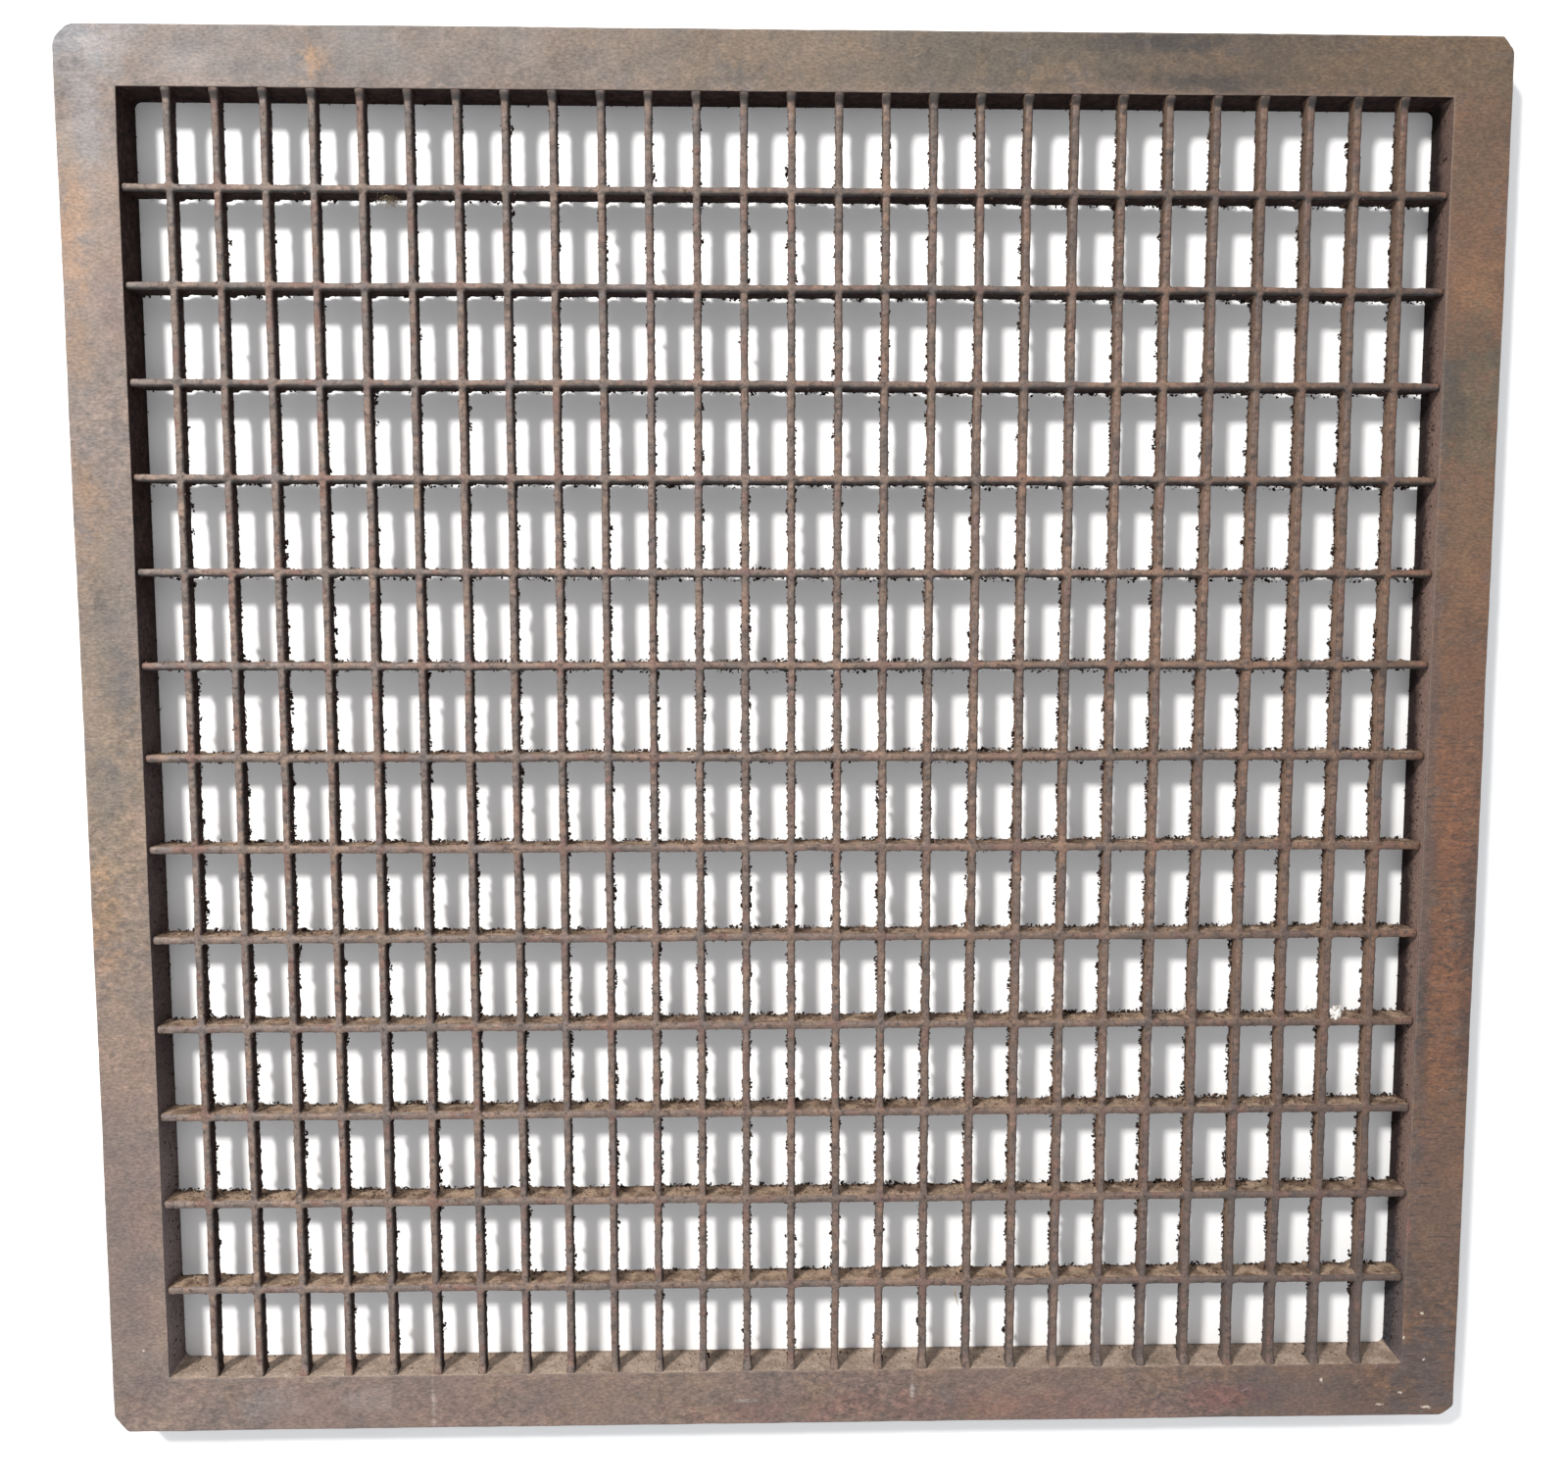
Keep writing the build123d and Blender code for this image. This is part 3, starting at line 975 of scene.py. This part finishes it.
def rim_iron():
    """Browned iron: broad stains, some of them painted sheen, finer clouds, pits in clusters,
    scratches, and worn edges with a painted highlight.
    """
    n = Nodes("rim_iron")
    x, y = n.axes(n.place)[:2]
    nx, ny, nz = n.axes(n.normal)
    drift = n.noise(34, 5, 0.6)
    ragged = n.ramp(n.noise(60, 6, 0.7), 0.25, 0.75, -0.75, 0.75)

    drifted = n.math("ADD", y, n.product(drift, BACK_BLEND))
    at_back = n.ramp(drifted, HALF_OPENING, HALF_OPENING + BACK_BLEND)
    colour = n.mix(at_back, n.stops(x, TONE_AND_LIGHT_ACROSS), n.stops(x, TONE_BACK))
    for *oval, tone, strength in STAINS:
        colour = n.mix(n.product(n.zone(x, y, oval, ragged), strength), colour, tone)
    colour = clouded(n, colour, 0.060, 0.04, 0.88, 1.08)
    colour = clouded(n, colour, 0.014, 0.02, 0.90, 1.08, 1.3)
    rough = n.ramp(n.stretched((0.09, 0.09, 0.09), 2, 0.5), 0.35, 0.60)
    smooth = n.math("SUBTRACT", 1.0, rough)
    for *oval, strength in SMOOTH:
        smooth = n.math("MAXIMUM", smooth, n.product(n.zone(x, y, oval, ragged), strength))
    slate = n.ramp(n.noise(60, 5, 0.65), 0.56, 0.68)
    colour = n.mix(n.product(slate, 0.30), colour, SLATE)
    ochre = n.ramp(n.noise(43, 5, 0.65), 0.56, 0.68)
    colour = n.mix(n.product(ochre, 0.20), colour, OCHRE)
    mottled = clouded(n, colour, 0.0042, 0.02, 0.70, 1.26, 1.5)
    worn = n.product(smooth, SMOOTHING)
    colour = n.mix(worn, mottled, colour)

    pitted = n.ramp(drift, 0.45, 0.70, 0.25, 0.75)
    for *oval, strength in PITTED:
        pitted = n.math("MAXIMUM", pitted, n.product(n.zone(x, y, oval, ragged), strength))
    dots = n.ramp(n.stretched((0.0042, 0.0024, 0.0024), 4, 0.75), 0.52, 0.66)
    pits = n.product(dots, pitted, n.math("SUBTRACT", 1.0, worn))
    colour = n.mix(n.product(pits, n.ramp(x, -0.36, 0.34, 0.50, 1.0)), colour, PIT)

    # Dark streaks along X on the +X side, from a little behind the middle to the front.
    streaks = n.ramp(n.stretched((0.011, 0.0016, 0.02), 3, 0.6), 0.56, 0.66)
    streaks = n.product(streaks, n.ramp(x, 0.30, 0.36), n.ramp(y, 0.10, -0.04), 0.60)
    colour = n.mix(streaks, colour, BLACK_STAIN)
    grain = n.ramp(n.stretched((0.0024, 0.0012, 0.0012), 3, 0.7), 0.30, 0.70, 0.72, 1.30)
    colour = n.shaded(colour, grain)

    # Fine scratches, longer than they are wide, most of them on the -Y side.
    scratches = n.ramp(n.stretched((0.012, 0.0007, 0.02), 2, 0.5, 24), 0.68, 0.80)
    crossing = n.ramp(n.stretched((0.0006, 0.009, 0.02), 2, 0.5, -12), 0.70, 0.82)
    lines = n.product(n.math("MAXIMUM", scratches, crossing), n.ramp(y, 0.3, -0.33, 0.35, 0.9))
    colour = n.mix(lines, colour, WORN_EDGE)
    chipped = n.ramp(n.noise(900, 3, 0.7), 0.3, 0.7, -0.6, 0.6)
    for oval in CHIPS:
        colour = n.mix(n.zone(x, y, oval, chipped), colour, CHIP_TONE)

    # The inner and outer edges of the face are paler: rubbed wear with a painted highlight along them.
    ring = n.math("MAXIMUM", n.math("ABSOLUTE", x), n.math("ABSOLUTE", y))
    inner_edge = n.ramp(ring, HALF_OPENING + 1.6 * MM, HALF_OPENING, 0.0, 0.18)
    outer_edge = n.ramp(ring, HALF_SIDE - 1.8 * MM, HALF_SIDE - 0.4 * MM, 0.0, 0.30)
    rubbed_and_highlit = n.product(n.math("MAXIMUM", inner_edge, outer_edge), n.ramp(drift, 0.35, 0.6))
    colour = n.mix(rubbed_and_highlit, colour, WORN_EDGE)

    # Steep faces take the side colours: painted shade where they face away from the lamp, and a dark
    # brown that dims their highlight where they face -X.
    colour = n.mix(n.ramp(nz, 0.35, 0.80), side_colour(n, nx, ny, y, EDGE_SHADE_BROWN, LEDGE_DUST), colour)
    height = n.math("SUBTRACT", n.noise(180, 4, 0.7), n.product(pits, 0.7))
    coarse = n.bump(height, 0.30 * MM, 0.8)
    normal = n.bump(n.noise(1300, 3, 0.7), 0.08 * MM, 0.8, coarse)
    return n.finished(colour, n.ramp(drift, 0.3, 0.7, 0.56, 0.74), SURFACE_GLOSS, normal)


def side_colour(n, nx, ny, y, towards_left, dust, painted_reflection=False):
    """Sides: nearly black, painted shade where they face away from the lamp; that colour, painted
    light, where they look towards -X; and dusty towards +Y, most at the front. With
    painted_reflection, the black turns grey towards the front: painted reflected light."""
    black = n.mix(n.ramp(n.noise(230, 4, 0.65), 0.35, 0.70), *SIDE_SHADE_BLACK)
    if painted_reflection:
        # Painted reflected light: the shaded black turns partly grey from the middle forwards and
        # fully grey at the front.
        grey = n.math("MAXIMUM", n.ramp(y, 0.14, -0.02, 0.0, 0.30), n.ramp(y, -0.12, -0.26))
        black = n.mix(grey, black, REFLECTED_LIGHT_GREY)
    dusty = n.mix(n.ramp(n.noise(110, 4, 0.65), 0.36, 0.64), *dust)
    dusty = n.shaded(dusty, n.ramp(n.noise(17, 3, 0.6), 0.55, 0.68, 1.0, 0.66))
    colour = n.mix(n.ramp(nx, -0.25, -0.80), black, towards_left)
    settled = n.product(n.ramp(ny, 0.35, 0.80), n.ramp(y, 0.16, -0.02, 0.28, 1.0))
    return n.mix(settled, colour, dusty)


def crusted_side(name, tones, fade, dust, painted_reflection=False):
    """Bar sides or the rim's inner wall, dull and crusted. Towards -X they go from the first tone
    to the second between the two depths below the face, in mm."""
    n = Nodes(name)
    y, z = n.axes(n.place)[1:]
    nx, ny = n.axes(n.normal)[:2]
    depth = n.math("ADD", z, n.product(n.noise(140, 4, 0.65), 12 * MM))
    depth = n.math("SUBTRACT", depth, 2 * MM)
    left = n.mix(n.ramp(depth, FACE_Z - fade[0] * MM, FACE_Z - fade[1] * MM), *tones)
    left = n.mix(n.ramp(y, -0.25, -0.31, 0.0, 0.6), left, SLATE)
    # Painted shade: the tones towards -X darken towards +Y, for the shadow near the +Y side of the
    # rim.
    left = n.shaded(left, n.ramp(y, 0.10, 0.32, 1.0, 0.62))
    grain = n.ramp(n.noise(800, 3, 0.7), 0.30, 0.70, 0.70, 1.30)
    colour = n.shaded(side_colour(n, nx, ny, y, left, dust, painted_reflection), grain)
    coarse = n.bump(n.noise(380, 4, 0.7), 0.30 * MM, 0.9)
    normal = n.bump(n.noise(1500, 3, 0.7), 0.08 * MM, 0.8, coarse)
    roughness = n.ramp(n.noise(90, 3, 0.6), 0.3, 0.7, 0.86, 0.98)
    return n.finished(colour, roughness, CRUSTED_GLOSS, normal)


def bar_iron():
    """The crowns: mottled reddish brown and grey, with painted shade on the flanks towards +X and -Y.
    """
    n = Nodes("bar_iron")
    x, y = n.axes(n.place)[:2]
    nx, ny, nz = n.axes(n.normal)
    crown = n.stops(x, TONE_AND_LIGHT_ACROSS)
    crown = clouded(n, crown, 0.030, 0.07, 0.88, 1.12)
    crown = clouded(n, crown, 0.0070, 0.04, 0.78, 1.22)
    slate = n.ramp(n.noise(38, 4, 0.65), 0.53, 0.64, 0.0, 0.60)
    greyed = n.product(n.ramp(x, 0.02, 0.30), n.ramp(y, -0.05, -0.28, 0.0, 0.55))
    slate = n.math("MAXIMUM", slate, greyed)
    crown = n.mix(slate, crown, n.mix(n.ramp(x, -0.2, 0.35), *CROWN_SLATE))
    red = n.product(n.ramp(n.noise(75, 4, 0.6), 0.50, 0.64), n.ramp(x, -0.30, 0.10, 0.65, 0.45))
    crown = n.mix(red, crown, CROWN_RED)
    specks = n.ramp(n.noise(330, 4, 0.7), 0.53, 0.64, 0.0, 0.75)
    crown = n.mix(specks, crown, CROWN_SPECK)
    grain = n.ramp(n.noise(900, 3, 0.65), 0.30, 0.70, 0.74, 1.28)
    # Painted shade: crown flanks that face +X, and those that face -Y on bars towards +Y, are
    # darkened; the crowns also darken a little towards +Y.
    right_flank_shade = n.ramp(nx, 0.15, 0.70, 1.0, 0.42)
    front_flank_shade = n.ramp(ny, 0.12, -0.34, 1.0, 0.14)
    front_flank_shade = n.math("MAXIMUM", front_flank_shade, n.ramp(y, 0.08, -0.05, 0.0, 0.80))
    shade = n.product(grain, n.product(right_flank_shade, front_flank_shade), n.ramp(y, 0.08, 0.28, 1.0, 0.86))
    sides = side_colour(n, nx, ny, y, LIT_SIDE_BROWN, LEDGE_DUST)
    colour = n.mix(n.ramp(nz, 0.05, 0.35), sides, n.shaded(crown, shade))
    coarse = n.bump(n.noise(420, 4, 0.7), 0.26 * MM, 0.9)
    normal = n.bump(n.noise(1700, 3, 0.7), 0.07 * MM, 0.8, coarse)
    roughness = n.ramp(n.noise(210, 4, 0.65), 0.3, 0.7, 0.58, 0.82)
    return n.finished(colour, roughness, SURFACE_GLOSS, normal)


def loose_dirt(name, *tones):
    """Crumbs and lint in three mixed screen colours: dark, middle and pale."""
    n = Nodes(name)
    dark, middle, pale = (linear(*tone) for tone in tones)
    tone = n.noise(330, 4, 0.65)
    colour = n.mix(n.ramp(tone, 0.36, 0.54), dark, middle)
    colour = n.mix(n.ramp(n.noise(520, 3, 0.6), 0.58, 0.72), colour, pale)
    normal = n.bump(n.noise(2200, 3, 0.7), 0.08 * MM, 0.8)
    return n.finished(colour, n.ramp(tone, 0.3, 0.7, 0.85, 1.0), LOOSE_GLOSS, normal)


FLOOR_TONES = ((0.79, 0.785, 0.78, 1), (0.82, 0.815, 0.81, 1))
FLOOR_ROUGHNESS = 0.9


def pale_floor():
    n = Nodes("pale_floor")
    tone = n.ramp(n.noise(3.0, 2, 0.5), 0.3, 0.7)
    n.link(n.mix(tone, *FLOOR_TONES), n.shader.inputs["Base Color"])
    n.shader.inputs["Roughness"].default_value = FLOOR_ROUGHNESS
    return n.material


# ---- Stage -------------------------------

KEY_DIRECTION = Vector((-0.62, 0.74, 1.0))
KEY_DISTANCE = 3.2
KEY_SIZE = 0.45
KEY_WATTS = 150.0
KEY_TINT = (1.0, 0.985, 0.96)
SKY_STRENGTH = 1.05
SKY_TINT = (0.95, 0.97, 1.0, 1)
FLOOR_REACH = 6.0


def make_stage():
    scene = bpy.context.scene
    scene.view_settings.view_transform = "Standard"
    mesh = bpy.data.meshes.new("floor")
    signs = ((-1, -1), (1, -1), (1, 1), (-1, 1))
    corners = [(FLOOR_REACH * x, FLOOR_REACH * y, RIM_LOW.z) for x, y in signs]
    mesh.from_pydata(corners, [], [(0, 1, 2, 3)])
    mesh.materials.append(pale_floor())
    floor = added("floor", mesh)

    light = bpy.data.lights.new("key", "AREA")
    light.shape = "DISK"
    light.size = KEY_SIZE
    light.energy = KEY_WATTS
    light.color = KEY_TINT
    key = added("key", light)
    key.location = KEY_DIRECTION.normalized() * KEY_DISTANCE
    key.rotation_mode = "QUATERNION"
    key.rotation_quaternion = KEY_DIRECTION.to_track_quat("Z", "Y")

    world = bpy.data.worlds.new("soft_sky")
    world.use_nodes = True
    background = world.node_tree.nodes["Background"]
    background.inputs["Color"].default_value = SKY_TINT
    background.inputs["Strength"].default_value = SKY_STRENGTH
    scene.world = world


# ---- Build -------------------------------

make_camera()
make_stage()

RIM_IRON = rim_iron()
RIM_WALL = crusted_side("rim_wall", WALL_TONES, (3.5, 14.0), WALL_DUST, True)
BAR_IRON = bar_iron()
BAR_SIDE = crusted_side("bar_side", BAR_TONES, (-2.0, 6.0), LEDGE_DUST)
CRUST = loose_dirt("rust_crust", (24, 17, 15), (50, 37, 31), (88, 68, 54))
LINT = loose_dirt("brown_lint", (42, 32, 27), (102, 82, 69), (144, 122, 103))
FLAKES = loose_dirt("rust_flakes", (66, 48, 41), (104, 79, 67), (132, 108, 93))
COTTON = loose_dirt("cotton_fluff", (176, 170, 162), (208, 204, 198), (226, 223, 218))
COBWEB = loose_dirt("tan_cobweb", (112, 98, 78), (146, 130, 106), (176, 160, 134))

WALL_SEED, LONG_SEED, CROSS_SEED, SEED_STEP = 7, 100, 1000, 20


def place_piece(name, shells, node):
    piece = add_object(name, shells)
    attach(piece, "root")
    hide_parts(node)


place_piece("rim_cast", [rough_rim()] + wall_lint(WALL_SEED), "rim")

for number, (node, x) in enumerate(zip(LONG_BARS, LONG_X)):
    seed = LONG_SEED + SEED_STEP * number
    shells = [rough_bar(1, x, LONG_WIDTH, LONG_REAR_Z, CROSS_Y, CROSS_WIDTH, seed)]
    shells += rear_crust(1, x, LONG_WIDTH / 2 * REAR_SHARE, LONG_REAR_Z, LONG_CRUST_REACH, seed)
    shells += debris_on(node, x)
    place_piece(node + "_iron", shells, node)

for number, (node, y) in enumerate(zip(CROSS_BARS, CROSS_Y)):
    seed = CROSS_SEED + SEED_STEP * number
    shells = [rough_bar(0, y, CROSS_WIDTH, CROSS_REAR_Z, LONG_X, LONG_WIDTH, seed)]
    shells += rear_crust(0, y, CROSS_WIDTH / 2 * REAR_SHARE, CROSS_REAR_Z, CROSS_CRUST_REACH, seed)
    shells += ledge_lint(y, CROSS_WIDTH / 2 * REAR_SHARE, seed + 1)
    shells += debris_on(node, y)
    place_piece(node + "_iron", shells, node)
